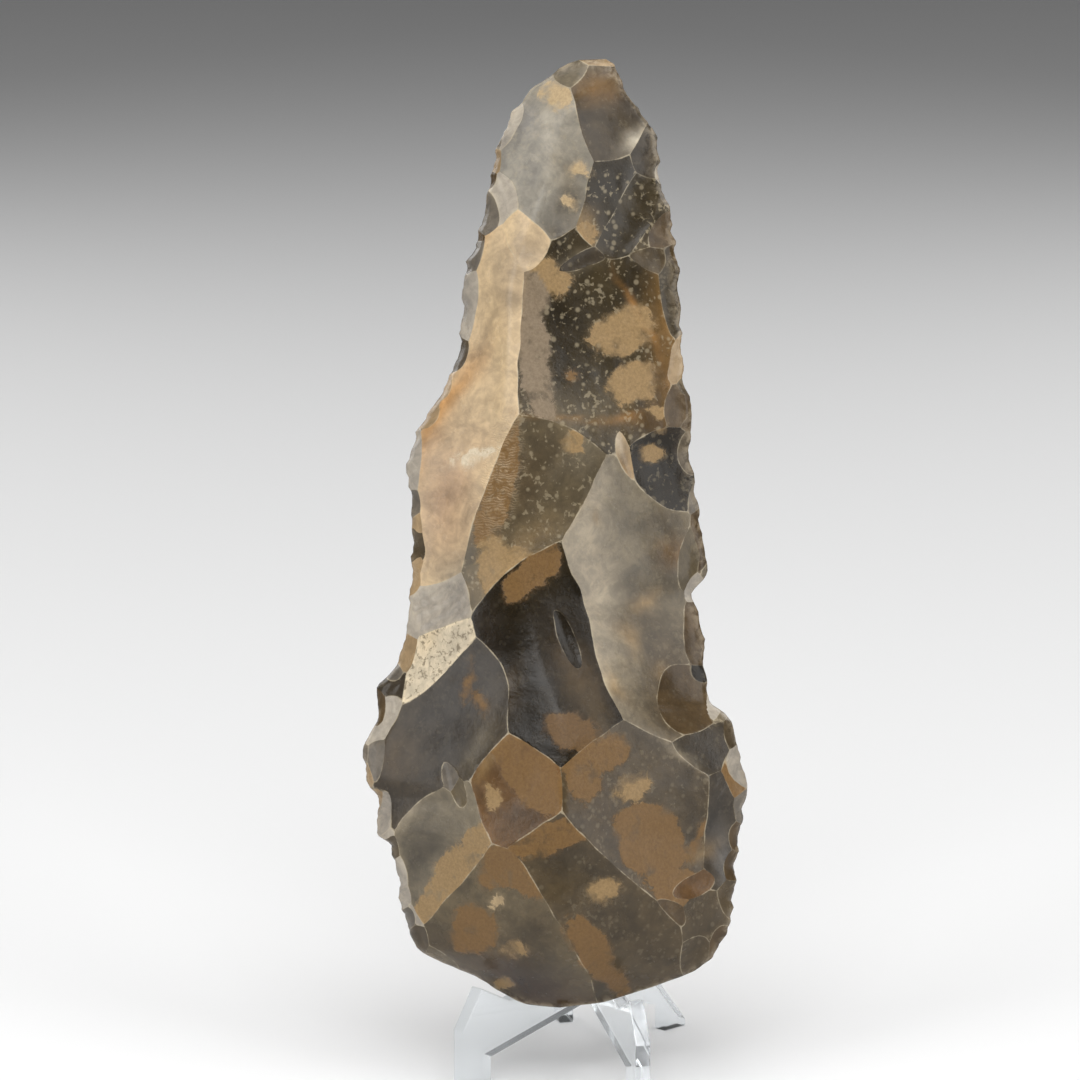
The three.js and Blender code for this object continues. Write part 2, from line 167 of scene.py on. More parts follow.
# Small late flakes, cut into the scars that were there: depth is below the older surface.
FRONT_CHIPS = {
    "tip_nick": (-8.6, 187, 8, 5, 68, 0.5, "fresh", 0.0, 0.04, -12, 188),
    "side_nick": (-11.6, 180, 8, 4, 65, 0.5, "sand", 0.0, 0.04, -15, 180),
    "blue_chip": (19.2, 177, 10, 6, 78, 0.6, "slate", 0.1, 0.03, 25, 178),
    "crescent": (15.5, 168, 12, 6, 62, 0.45, "olive", 0.8, 0.05, 20, 174),
    "brown_bulb": (21.5, 164.5, 8, 6, 15, 0.5, "earth", 0.1, 0.03, 26, 165),
    "upper_step": (19, 157.5, 10, 4, -22, 0.3, "smoke", 0.3, 0.03, 26, 158),
    "upper_shelf": (6, 157, 9, 3, 25, 0.25, "slate", 0.4, 0.03, 0, 150),
    "right_scallop": (24.2, 148, 18, 7, 84, 0.7, "olive", 0.3, 0.05, 30, 148),
    "right_flake": (25.8, 137, 10, 5, 80, 0.6, "sand", 0.1, 0.05, 30, 137),
    "right_notch": (25.5, 129, 9, 7, 70, 0.5, "earth", 0.2, 0.05, 31, 128),
    "hinge_nick": (2.0, 77.6, 11, 3.4, 116, 0.4, "umber", 0.0, 0.02, 5, 86),
    "brown_curl": (26.2, 67.5, 12, 10, 100, 0.8, "earth", 0.1, 0.06, 34, 74),
    "curl_inside": (29.8, 70.6, 6, 5, 60, 0.7, "umber", 0.0, 0.04, 33, 72),
    "right_flutes": (30, 97, 20, 4.5, 86, 0.7, "earth", 0.1, 0.08, 34, 98),
    "right_flute_low": (27.6, 91, 12, 3.5, 80, 0.5, "moss", 0.1, 0.05, 32, 90),
    "right_lower_flake": (29.5, 79, 14, 5, 95, 0.6, "earth", 0.1, 0.06, 34, 80),
    "left_upper_flake": (-17.6, 157, 12, 5, 78, 0.6, "glass", 0.0, 0.06, -22, 157),
    "left_upper_strip": (-19.2, 143, 15, 4, 82, 0.5, "fresh", 0.0, 0.06, -24, 143),
    "left_bulge": (-30, 113, 17, 5, 94, 0.7, "fresh", 0.0, 0.06, -35, 113),
    "left_rust_strip": (-29.3, 99, 15, 3.6, 90, 0.5, "sand", 0.0, 0.04, -34, 99),
    "left_splinter": (-22.6, 49.8, 7, 3, 112, 0.5, "glass", 0.0, 0.03, -28, 52),
    "left_splinter_low": (-20.4, 45.4, 8, 3, 105, 0.5, "moss", 0.0, 0.03, -24, 40),
    "lower_curl": (-36.4, 60.5, 12, 5, 66, 0.5, "fresh", 0.0, 0.12, -42, 62),
    "left_wave": (-37.5, 52, 11, 5, 88, 0.6, "glass", 0.0, 0.08, -43, 52),
    "left_nib": (-36, 42, 9, 4, 80, 0.6, "fresh", 0.0, 0.08, -41, 42),
    "butt_step": (24.5, 21.5, 11, 4, 140, 0.6, "earth", 0.1, 0.05, 30, 26),
    "butt_step_right": (30, 27, 12, 5, 20, 0.6, "brown", 0.1, 0.05, 38, 28),
    "butt_corner": (30.4, 12.6, 10, 5, 60, 0.5, "smoke", 0.2, 0.05, 36, 9),
    "butt_left_nick": (-22.6, 9.6, 8, 4, 150, 0.5, "moss", 0.1, 0.05, -26, 5),
}
BACK_SCARS = {
    "tip": (6, 192, 22, 14, 80, 1.6, "haze", 0.3, 0.03, 12, 200),
    "tip_edge": (-6, 180, 26, 11, 70, 1.4, "sand", 0.1, 0.02, -14, 186),
    "upper_left": (-9, 158, 34, 17, 100, 1.8, "smoke", 0.6, 0.03, -22, 156),
    "upper_right": (13, 165, 40, 20, 85, 2.2, "ash", 0.4, 0.03, 28, 168),
    "mid_right": (15, 130, 44, 26, 70, 2.4, "olive", 0.8, 0.03, 32, 128),
    "mid_left": (-14, 128, 42, 22, 110, 2.2, "cream", 0.0, 0.02, -30, 126),
    "centre": (2, 104, 40, 22, 40, 2, "moss", 0.5, 0.02, 20, 120),
    "right": (20, 93, 42, 24, 120, 2.4, "smoke", 0.3, 0.03, 36, 84),
    "left": (-21, 92, 40, 22, 60, 2.2, "slate", 0.2, 0.05, -36, 84),
    "hollow": (-2, 74, 42, 25, 20, 2.4, "umber", 0.1, 0.02, -26, 66),
    "low_right": (24, 56, 40, 26, 55, 2.4, "brown", 0.2, 0.03, 44, 50),
    "low_left": (-26, 60, 36, 24, 125, 2.2, "ash", 0.2, 0.03, -44, 60),
    "butt_middle": (0, 44, 36, 28, 95, 1.8, "smoke", 0.3, 0.02, 0, 26),
    "butt_left": (-22, 27, 40, 24, 140, 2.2, "moss", 0.1, 0.03, -36, 20),
    "butt_right": (21, 22, 42, 26, 35, 2.4, "earth", 0.2, 0.03, 36, 12),
    "butt_bottom": (-2, 12, 34, 20, 5, 1.8, "slate", 0.1, 0.03, 0, -6),
}
BACK_CHIPS = {
    "upper_nick": (20, 172, 11, 6, 80, 0.6, "fresh", 0.0, 0.05, 26, 172),
    "middle_flake": (25, 140, 14, 6, 85, 0.7, "earth", 0.1, 0.05, 31, 140),
    "side_flake": (-27, 112, 16, 6, 95, 0.7, "fresh", 0.0, 0.08, -34, 112),
    "side_curl": (27, 104, 13, 7, 100, 0.7, "brown", 0.1, 0.05, 34, 106),
    "low_flake": (-33, 74, 16, 7, 80, 0.7, "glass", 0.0, 0.12, -40, 76),
    "hinge": (2, 88, 12, 5, 130, 0.6, "umber", 0.0, 0.03, 8, 94),
    "corner": (34, 36, 16, 7, 85, 0.7, "sand", 0.1, 0.06, 42, 36),
    "butt_nick": (-30, 20, 13, 6, 110, 0.7, "fresh", 0.0, 0.06, -36, 18),
}
TRIM = {"step": 6.5, "length": 8, "width": 5, "depth": 0.7, "notch": 0.6, "inside": 0.8,
        "blow": 3, "ripple": 0.06, "from": 14, "to": 190}
TRIM_STONES = ("fresh", "earth", "sand", "glass", "smoke")
LEAST_STONE = 0.25  # share of the blank that no scar goes below
NEAREST_CUT = 0.08  # how near to a point a ridge may cut a side, as a share of the side

# Scatter that bends a plan: (size, lump, seed across, seed up).
PLAN_BEND = ((0.8, 12, 11, 13), (0.25, 3.4, 12, 14))
EDGE_ROUGHNESS = ((0.36, 1.9, 7.0, 5), (0.17, 0.7, 9.0, 6))  # size, lump, row of the scatter, seed
LUMPS = ((0.10, 6, 31), (0.035, 1.8, 32))  # size, lump, seed
RIPPLE_BEND = ((0.9, 7, 21), (0.2, 2.2, 22))
STRONG_RIPPLE = 0.08  # from this height on, ripples are sharp steps and not round waves
RIPPLE_WAVE = {"strong": 0.62, "faint": 0.9}
RIPPLE_PATCH = 13  # faint ripples come and go in patches of this size
SETTLE = {"ripple": 1.4, "lump": 0.8, "thin": 1.5}  # mm from a ridge or edge where they start


def cloud(x, z, lump, seed):
    """Smooth scatter between -1 and 1 with lumps of the given size."""
    size = 64
    table = np.random.default_rng(seed).uniform(-1, 1, (size, size))
    u, v = x / lump, z / lump
    i, j = np.floor(u).astype(int), np.floor(v).astype(int)
    across, up = u - i, v - j
    across, up = across ** 2 * (3 - 2 * across), up ** 2 * (3 - 2 * up)
    after, over = (i + 1) % size, (j + 1) % size
    i, j = i % size, j % size
    low = table[i, j] * (1 - across) + table[after, j] * across
    high = table[i, over] * (1 - across) + table[after, over] * across
    return low * (1 - up) + high * up


def bent(x, z, bends):
    """Points pushed about in the plan by scatter of several sizes."""
    bent_x, bent_z = x, z
    for size, lump, seed_across, seed_up in bends:
        bent_x = bent_x + size * cloud(x, z, lump, seed_across)
        bent_z = bent_z + size * cloud(x, z, lump, seed_up)
    return bent_x, bent_z


def scatter(n):
    """Repeatable scatter between 0 and 1."""
    wave = math.sin(n * 12.9898) * 43758.5453
    return wave - math.floor(wave)


def trim_scars(edge, seed, outward):
    """The last trimming blows along one edge of one face."""
    scars = []
    height, n = TRIM["from"], seed
    while height < TRIM["to"]:
        size = 0.6 + 0.7 * scatter(n)
        across = float(along(edge, height)) - outward * TRIM["inside"]
        stone = TRIM_STONES[int(len(TRIM_STONES) * scatter(n + 0.25))]
        scars.append((across, height, TRIM["length"] * size, TRIM["width"] * size, 90,
                      TRIM["depth"] * size, stone, 0.0, TRIM["ripple"],
                      across + outward * TRIM["blow"], height))
        height += TRIM["step"] * (0.6 + 0.9 * scatter(n + 0.5))
        n += 1
    return scars


left_trim = trim_scars(LEFT_EDGE, 3, -1)
right_trim = trim_scars(RIGHT_EDGE, 40, 1)
FACES = {
    "front": {"side": -1, "crest_column": 2, "scars": FRONT_SCARS,
              "chips": [*left_trim, *right_trim, *FRONT_CHIPS.values()]},
    "back": {"side": 1, "crest_column": 3, "scars": BACK_SCARS,
             "chips": [*trim_scars(LEFT_EDGE, 71, -1), *trim_scars(RIGHT_EDGE, 95, 1),
                       *BACK_CHIPS.values()]},
}


def edge_at(edge, trim, inward, height):
    """The edge with the bites that the trimming took out of it, and its fine roughness."""
    across = along(edge, height)
    for scar in trim:
        off = (height - scar[1]) / (scar[2] / 2)
        across = across + inward * TRIM["notch"] * np.clip(1 - off * off, 0, None)
    rough = sum(size * cloud(height, np.full_like(height, inward * row), lump, seed)
                for size, lump, row, seed in EDGE_ROUGHNESS)
    return across + rough * np.clip(height / 6, 0, 1)


def bowls(table, x, z):
    """Level of every scar's bowl at every point, against the blank, and its two slopes."""
    across, height, length, width, turn, depth, sunk = table.T
    turn = np.radians(turn)
    dx, dz = x[:, None] - across, z[:, None] - height
    forward = (dx * np.cos(turn) + dz * np.sin(turn)) / (length / 2)
    aside = (dz * np.cos(turn) - dx * np.sin(turn)) / (width / 2)
    run, drift = forward * depth * 4 / length, aside * depth * 4 / width
    slope_x = run * np.cos(turn) - drift * np.sin(turn)
    slope_z = run * np.sin(turn) + drift * np.cos(turn)
    return depth * (forward ** 2 + aside ** 2 - 1) + sunk, slope_x, slope_z


for face in FACES.values():
    # A chip starts from the surface that the older scars left at its middle.
    scars = np.array([(*scar[:6], 0) for scar in face["scars"].values()], dtype=float)
    chips = np.array([(*chip[:6], 0) for chip in face["chips"]], dtype=float)
    chips[:, 6] = bowls(scars, chips[:, 0], chips[:, 1])[0].min(axis=1)
    face["table"] = np.concatenate([scars, chips])
    face["all"] = [*face["scars"].values(), *face["chips"]]
    face["name_of"] = [*face["scars"], *("chip" for _ in face["chips"])]


def face_heights(face, x, z):
    """Depth of one face at points of the flat, with which scar is there and how far its ridge is."""
    # The bent plan keeps every ridge from being a drawn curve.
    level, slope_x, slope_z = bowls(face["table"], *bent(x, z, PLAN_BEND))
    order = np.argpartition(level, 1, axis=1)[:, :2]
    pair = np.take_along_axis(level, order, axis=1)
    first = np.where(pair[:, 0] <= pair[:, 1], order[:, 0], order[:, 1])
    slopes = [np.take_along_axis(slope, order, axis=1) for slope in (slope_x, slope_z)]
    opening = np.hypot(*(slope[:, 1] - slope[:, 0] for slope in slopes))
    ridge = np.abs(pair[:, 1] - pair[:, 0]) / np.maximum(opening, 0.05)
    left = edge_at(LEFT_EDGE, left_trim, 1, z)
    right = edge_at(RIGHT_EDGE, right_trim, -1, z)
    rim = np.clip(np.minimum(x - left, right - x) / CHIPPED_RIM, 0, 1)
    crest = along(CREST, z)
    to_left = crest - (along(LEFT_EDGE, z) - SECTION_MARGIN)
    to_right = along(RIGHT_EDGE, z) + SECTION_MARGIN - crest
    out = np.where(x < crest, (crest - x) / to_left, (x - crest) / to_right)
    section = 1 - np.clip(out, 0, 1) ** SECTION_POWER
    up = np.clip(z / BUTT_ROUNDING[0], 0, 1)
    down = np.clip((LENGTH - z) / POINT_ROUNDING[0], 0, 1)
    ends = (1 - (1 - up) ** BUTT_ROUNDING[1]) * (1 - (1 - down) ** POINT_ROUNDING[1])
    blank = along(CREST, z, face["crest_column"]) * ends * section
    cut = pair.min(axis=1) * blank / (blank + THIN_EDGE)
    depth = np.maximum(blank + cut, LEAST_STONE * blank) * rim ** RIM_POWER
    # Ripples spread from where each blow fell, and die out at the scar's rim.
    ripple = np.array([scar[8:] for scar in face["all"]], dtype=float)[first]
    reach = np.hypot(x - ripple[:, 1], z - ripple[:, 2])
    for size, lump, seed in RIPPLE_BEND:
        reach = reach + size * cloud(x, z, lump, seed)
    strong = ripple[:, 0] > STRONG_RIPPLE
    step = 1 - 2 * np.abs(np.sin(reach / RIPPLE_WAVE["strong"]))
    wave = np.where(strong, step, np.sin(reach / RIPPLE_WAVE["faint"]))
    patch = np.clip(0.5 + 1.2 * cloud(x, z, RIPPLE_PATCH, 23), 0, 1)
    inside = np.clip(blank / SETTLE["thin"], 0, 1)
    settle = np.clip(ridge / SETTLE["ripple"], 0, 1) * inside
    depth = depth + ripple[:, 0] * wave * settle * np.where(strong, 1, patch)
    lumps = sum(size * cloud(x, z, lump, seed) for size, lump, seed in LUMPS)
    depth = depth + lumps * np.clip(ridge / SETTLE["lump"], 0, 1) * inside
    across = np.clip((x - left) / (right - left), 0, 1)
    middle = sum(size * (np.sin(z / wave_length + shift) * (1 - across)
                         + np.sin(z / wave_length - shift) * across)
                 for size, wave_length, shift in EDGE_WANDER)
    return middle + face["side"] * depth, first, ridge, blank


def split(known, owners, sides, middle):
    """The small triangles of a triangle that ridges cross, each with the scar that owns it."""
    if middle is not None:
        pieces = []
        for k in range(3):
            after = (k + 1) % 3
            pieces += [([known[k], sides[k], middle], owners[k]),
                       ([sides[k], known[after], middle], owners[after])]
        return pieces
    if sides == [None, None, None]:
        return [(known, owners[0])]
    # Turned so that the first side is cut, and the last one isn't.
    k = next(k for k in range(3) if sides[k] is not None and sides[k - 1] is None)
    a, b, c = (known[(k + step) % 3] for step in range(3))
    scar_a, scar_b, scar_c = (owners[(k + step) % 3] for step in range(3))
    ab, bc = sides[k], sides[(k + 1) % 3]
    if bc is not None:
        return [([ab, b, bc], scar_b), ([a, ab, bc], scar_a), ([a, bc, c], scar_c)]
    return [([a, ab, c], scar_a), ([ab, b, c], scar_b)]


def chipped_stone():
    """Both faces on one grid whose rim they share, cut along the ridges."""
    points, triangles, owners_of, sides_of, ridges, blanks = [], [], [], [], [], []
    turn = np.linspace(0, 2 * math.pi, ROWS + 1)
    heights = LENGTH * (turn - ROWS_TOWARDS_ENDS * np.sin(turn)) / (2 * math.pi)
    share = np.linspace(0, 1, COLUMNS + 1)
    share = ((1 - COLUMNS_TOWARDS_EDGES) * share
             + COLUMNS_TOWARDS_EDGES * (0.5 - 0.5 * np.cos(share * math.pi)))
    left = edge_at(LEFT_EDGE, left_trim, 1, heights)
    right = edge_at(RIGHT_EDGE, right_trim, -1, heights)
    grid_x = (left[:, None] + (right - left)[:, None] * share).ravel()
    grid_z = np.repeat(heights, COLUMNS + 1)
    number = np.arange(grid_x.size).reshape(ROWS + 1, COLUMNS + 1)
    on_rim = np.zeros(number.shape, bool)
    on_rim[[0, -1], :] = True
    on_rim[:, [0, -1]] = True
    on_rim = on_rim.ravel()
    total = 0
    for face in FACES.values():
        y, first, ridge, blank = face_heights(face, grid_x, grid_z)
        if total == 0:
            index = np.arange(grid_x.size)
            rim_index = index
            own = np.ones(grid_x.size, bool)
        else:
            own = ~on_rim
            index = np.where(on_rim, rim_index, 0)
            index[own] = total + np.arange(own.sum())
        points.append(np.stack([grid_x, y, grid_z], axis=1)[own])
        ridges.append(ridge[own])
        blanks.append(blank[own])
        total += int(own.sum())
        # Two triangles to a cell, along the diagonal that joins two points of one scar.
        a, b = number[:-1, :-1].ravel(), number[:-1, 1:].ravel()
        d, c = number[1:, :-1].ravel(), number[1:, 1:].ravel()
        rising = (first[a] == first[c])[:, None]
        one = np.where(rising, np.stack([a, b, c], 1), np.stack([a, b, d], 1))
        two = np.where(rising, np.stack([a, c, d], 1), np.stack([b, c, d], 1))
        cells = np.concatenate([one, two])
        owner = first[cells]
        whole = (owner[:, 0] == owner[:, 1]) & (owner[:, 1] == owner[:, 2])
        cut_x, cut_z, cuts, added, owners = [], [], {}, [], []

        def crossing(p, q):
            """Number of the new point where the ridge crosses a side, or None."""
            if first[p] == first[q] or (on_rim[p] and on_rim[q]):
                return None
            key = (min(p, q), max(p, q))
            if key not in cuts:
                both = face["table"][[first[p], first[q]]]
                ends = bowls(both, *bent(grid_x[[p, q]], grid_z[[p, q]], PLAN_BEND))[0]
                start, end = ends[0, 0] - ends[0, 1], ends[1, 0] - ends[1, 1]
                t = min(1 - NEAREST_CUT, max(NEAREST_CUT, start / (start - end)))
                cuts[key] = total + len(cut_x)
                cut_x.append(grid_x[p] + (grid_x[q] - grid_x[p]) * t)
                cut_z.append(grid_z[p] + (grid_z[q] - grid_z[p]) * t)
            return cuts[key]

        for corners in cells[~whole].tolist():
            sides = [crossing(corners[k], corners[(k + 1) % 3]) for k in range(3)]
            middle = None
            if None not in sides:
                # Three scars meet inside.
                middle = total + len(cut_x)
                cut_x.append(sum(cut_x[side - total] for side in sides) / 3)
                cut_z.append(sum(cut_z[side - total] for side in sides) / 3)
            known = [index[corner] for corner in corners]
            for piece, scar in split(known, [first[corner] for corner in corners], sides, middle):
                added.append(piece)
                owners.append(scar)
        cut_x, cut_z = np.array(cut_x), np.array(cut_z)
        y, _, _, blank = face_heights(face, cut_x, cut_z)
        points.append(np.stack([cut_x, y, cut_z], axis=1))
        ridges.append(np.zeros(cut_x.size))
        blanks.append(blank)
        total += cut_x.size
        corners = np.concatenate([index[cells[whole]], np.array(added)])
        triangles.append(corners if face["side"] < 0 else corners[:, ::-1])
        owners_of.append(np.concatenate([first[cells[whole][:, 0]], np.array(owners)]))
        sides_of.append(np.full(len(corners), face["side"]))
    return [np.concatenate(part)
            for part in (points, triangles, owners_of, sides_of, ridges, blanks)]


points, triangles, scar_of, side_of, ridge_gap, blank_depth = chipped_stone()

# Leaned back, in metres, and set where the frame has the axe.
leaned = points.copy()
leaned[:, 1] = points[:, 1] * math.cos(LEAN) + points[:, 2] * math.sin(LEAN)
leaned[:, 2] = points[:, 2] * math.cos(LEAN) - points[:, 1] * math.sin(LEAN)
leaned *= 0.001
low, high = (np.array(corner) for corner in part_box("hand_axe"))
offset = (low + high) / 2 - (leaned.min(axis=0) + leaned.max(axis=0)) / 2
offset[2] = low[2] - leaned[:, 2].min()
leaned += offset

axe_mesh = bpy.data.meshes.new("hand_axe_flaked")
axe_mesh.from_pydata(leaned.tolist(), [], triangles.tolist())
axe_mesh.shade_smooth()
axe_mesh.update()


# --- Hand axe: patina and painted light ----------------------------------------------------------
# The stone varies softly inside a scar, and a few of these soft clouds are painted highlights and
# painted shade; ground water stained it in sharp, granular blotches. Both are (scar or "any",
# tone, across, height, length, width, turn), and a cloud has its strength.
TONES = {
    **STONES,
    "light": (190, 182, 165),
    "milk": (222, 219, 208),
    "bluish": (136, 138, 142),
    "char": (62, 59, 56),
    "bark": (76, 62, 46),
    "ochre": (136, 107, 66),
    "tan": (172, 147, 106),
    "butter": (208, 188, 152),
    "rust": (196, 146, 84),
    "amber": (116, 90, 54),
    "beige": (152, 138, 118),
    "pink": (192, 164, 136),
    "wine": (74, 60, 52),
    "peat": (38, 30, 18),
}
FRONT_CLOUDS_AND_PAINTED_LIGHT = (
    ("blade", "milk", -0.5, 181, 20, 9, 95, 0.35),
    ("blade", "bluish", -5.5, 188, 10, 6, 50, 0.6),
    ("blade", "smoke", 3.5, 170, 18, 6, 100, 0.55),
    ("blade", "smoke", 0.5, 161.5, 9, 7, 120, 0.8),
    ("blade", "char", -9, 187, 9, 4, 60, 0.5),
    ("tip_right", "ochre", 10, 193.5, 12, 6, 5, 0.8),
    ("tip_right", "char", 6.5, 185, 18, 5, 105, 0.5),
    # painted highlight: the pale patch low on the right of the tip scar
    ("tip_right", "milk", 17.5, 182.8, 9, 5, 40, 0.95),
    ("tip_right", "char", 15, 190, 12, 7, 110, 0.6),
    ("dark_upper", "umber", 10, 169, 18, 12, 60, 0.6),
    ("dark_upper", "bluish", 19.5, 175, 12, 6, 80, 0.7),
    ("dark_upper", "tan", 6, 163, 9, 6, 100, 0.7),
    ("dark_upper", "moss", 16, 162, 18, 6, 0, 0.5),
    ("upper_middle", "ash", 4, 157.5, 12, 4, 10, 0.6),
    ("upper_middle", "umber", 1, 143, 26, 9, 95, 0.7),
    ("upper_middle", "ochre", 23.5, 141, 34, 8, 90, 0.75),
    ("upper_middle", "moss", 2, 124, 26, 12, 0, 0.8),
    ("upper_middle", "amber", 19, 124, 14, 6, 10, 0.5),
    ("upper_middle", "tan", 25, 157, 8, 4, 90, 0.8),
    ("square_right", "bark", 28, 117, 9, 5, 90, 0.5),
    ("middle", "ash", 8, 119, 14, 8, 40, 0.75),
    ("middle", "tan", -7, 95.5, 20, 6, 42, 0.45),
    ("middle", "earth", -6, 110, 20, 10, 70, 0.5),
    ("splinter", "milk", 12.5, 119, 12, 4, 110, 0.5),
    ("splinter", "ochre", 15, 112, 14, 2.5, 100, 0.5),
    # painted highlight: a pale band down the left side of the smooth scar, with two more patches along
    # it
    ("smooth_right", "light", 6, 93, 54, 13, 97, 0.9),
    ("smooth_right", "light", 10, 70, 26, 6, 128, 0.7),
    ("smooth_right", "light", 9, 110, 16, 8, 60, 0.5),
    ("smooth_right", "smoke", 24, 98, 26, 12, 90, 0.75),
    ("smooth_right", "smoke", 20, 78, 30, 8, 110, 0.45),
    ("smooth_right", "earth", 25, 67, 26, 14, 90, 0.8),
    ("smooth_right", "ochre", 24, 94.4, 7, 6, 0, 0.7),
    ("smooth_right", "tan", 18.6, 84.5, 5, 4.5, 0, 0.7),
    ("smooth_right", "tan", 15.2, 77.5, 7, 4.5, 120, 0.8),
    ("smooth_right", "tan", 13.5, 68, 8, 3, 130, 0.6),
    ("smooth_right", "tan", 9, 104, 4, 2, 110, 0.5),
    ("smooth_right", "tan", 21.5, 71, 4, 3, 60, 0.4),
    ("dark_hollow", "olive", -1, 97, 18, 12, 60, 0.75),
    ("dark_hollow", "peat", -15.5, 79, 14, 7, 100, 0.85),
    ("dark_hollow", "earth", 5.5, 68, 26, 8, 115, 0.6),
    ("dark_hollow", "smoke", 8, 62, 20, 6, 125, 0.45),
    ("dark_hollow", "earth", -11, 67, 12, 7, 60, 0.4),
    ("left_grey", "char", -20, 67, 26, 13, 72, 0.8),
    ("left_grey", "char", -23, 59, 12, 10, 40, 0.5),
    ("left_grey", "earth", -35, 53, 14, 12, 40, 0.4),
    ("left_grey", "ash", -16, 54, 12, 5, 60, 0.6),
    ("left_low", "light", -30, 42, 12, 5, 30, 0.25),
    ("left_low", "char", -29, 31, 16, 6, 60, 0.55),
    ("brown_middle", "rust", 0, 49, 14, 6, 125, 0.28),
    ("brown_middle", "bark", -6, 42, 12, 8, 30, 0.5),
    ("brown_middle", "tan", -13, 52, 12, 3, 55, 0.6),
    ("brown_right", "earth", 10, 42, 24, 10, 125, 0.5),
    ("brown_right", "smoke", 20, 50, 22, 8, 150, 0.6),
    ("brown_right", "light", 27, 53.5, 14, 2.5, 140, 0.7),
    ("grey_butt", "olive", 4, 30, 18, 10, 140, 0.4),
    # the dark band along the butt's lower face: partly the stone's reddish brown, partly painted shade
    # where the butt curves under
    ("left_butt", "wine", -6, 5, 40, 13, 155, 0.9),
    ("left_butt", "smoke", -4, 18, 14, 9, 60, 0.7),
    ("right_wedge", "light", 25, 54, 12, 4, 140, 0.6),
    ("right_hollow", "char", 34, 40, 18, 5, 80, 0.6),
    ("right_hollow", "bluish", 36, 33, 12, 5, 95, 0.5),
    ("long_left", "rust", -23.5, 126, 30, 5, 62, 0.8),
    ("long_left", "pink", -23, 108, 26, 14, 80, 0.85),
    ("long_left", "butter", -12, 140, 46, 7, 96, 0.5),
    ("long_left", "rust", -14.5, 163, 16, 3, 62, 0.35),
    ("long_left", "haze", -19.5, 90, 12, 10, 70, 0.6),
    ("cream_chip", "butter", -9, 163, 10, 6, 100, 0.5),
    ("cortex", "butter", -27, 78, 12, 5, 60, 0.4),
    ("any", "rust", 14.5, 124.3, 6, 1.6, 20, 0.5),
    # the orange-brown line of the step across the middle: partly the stone's colour, partly the painted
    # shadow under its little ledge
    ("any", "ochre", 4, 124.6, 24, 1.6, -8, 0.7),
    ("any", "rust", 17.8, 146, 16, 1.4, 113, 0.6),
    ("any", "ochre", 28, 157, 16, 5, 92, 0.6),
    ("any", "tan", 31, 33, 10, 4, 30, 0.5),
)
FRONT_BLOTS = (
    ("blade", "butter", 0.4, 192, 6.4, 5.4, 110),
    ("any", "butter", 4.8, 176.2, 4, 2.6, 0),
    ("blade", "butter", 2.8, 169.5, 2.6, 2.2, 0),
    ("dark_upper", "tan", 6.6, 163.4, 5, 4, 100),
    ("upper_middle", "beige", -5.2, 143, 42, 7, 98),
    ("upper_middle", "beige", -5, 151, 12, 8, 100),
    ("upper_middle", "tan", -1.5, 154.3, 10, 7, 150),
    ("upper_middle", "tan", 13.6, 141.5, 14, 8, 8),
    ("upper_middle", "tan", 17, 144, 8, 8, 0),
    ("upper_middle", "tan", 16.4, 131.6, 10, 9, 20),
    ("upper_middle", "tan", 21.6, 126, 3.4, 2.6, 0),
    ("upper_middle", "ochre", 3, 133, 2.4, 1.6, 0),
    ("upper_middle", "ochre", 24, 133, 4, 2, 60),
    ("middle", "tan", 3.6, 118.6, 5, 4, 150),
    ("middle", "tan", -9.8, 91.6, 13, 9, 50),
    ("middle", "tan", -13.5, 95, 10, 7, 70),
    ("middle", "ochre", -12.2, 111, 30, 7, 78),
    ("square_right", "tan", 20.2, 116.8, 4.4, 3.4, 0),
    ("square_right", "tan", 21.8, 122.6, 3, 2, 0),
    ("dark_hollow", "ochre", -3.4, 93.6, 11, 7, 60),
    ("dark_hollow", "ochre", -7.6, 89.4, 7, 5, 40),
    ("dark_hollow", "amber", 3.4, 58.6, 13, 7, 158),
    ("left_grey", "ochre", -17.9, 69.5, 6, 1.8, 85),
    ("left_grey", "ochre", -15.4, 65, 5, 2, 110),
    ("left_low", "tan", -22.6, 24.8, 24, 9, 62),
    ("left_low", "tan", -15.4, 36.6, 9, 6, 60),
    ("brown_middle", "ochre", -5, 50, 20, 11, 130),
    ("brown_middle", "tan", -13.4, 45, 5, 3, 100),
    ("brown_right", "ochre", 5.4, 50.6, 14, 7, 110),
    ("brown_right", "ochre", 10.4, 54, 10, 7, 20),
    ("brown_right", "ochre", 20, 35.8, 16.5, 14.5, 120),
    ("brown_right", "tan", 16, 47, 8, 4, 40),
    ("brown_right", "ochre", 27, 25.6, 17, 6.5, -12),
    ("brown_right", "ochre", 29, 34, 7, 2, 60),
    ("grey_butt", "ochre", -2.4, 36.6, 17, 6.5, 18),
    ("grey_butt", "tan", 10.2, 25.6, 5.8, 4, 0),
    ("left_butt", "ochre", -7, 29.6, 17, 9, 155),
    ("left_butt", "ochre", -12, 31.6, 12, 8, 60),
    ("left_butt", "ochre", -16.9, 17, 11, 10, 60),
    ("left_butt", "butter", -12.6, 23.6, 3, 2.6, 60),
    ("left_butt", "tan", -8.8, 12.3, 5, 3.4, 0),
    ("any", "ochre", 7.6, 13.6, 15, 7.4, 128),
    ("any", "ochre", 11.6, 7.6, 12, 5.6, 128),
    ("left_butt", "tan", -10.4, 4.4, 3.6, 2, 0),
    ("right_chip", "ochre", 38, 49, 16, 8, 99),
    ("long_left", "rind", -17, 116, 9, 2, 20),
)
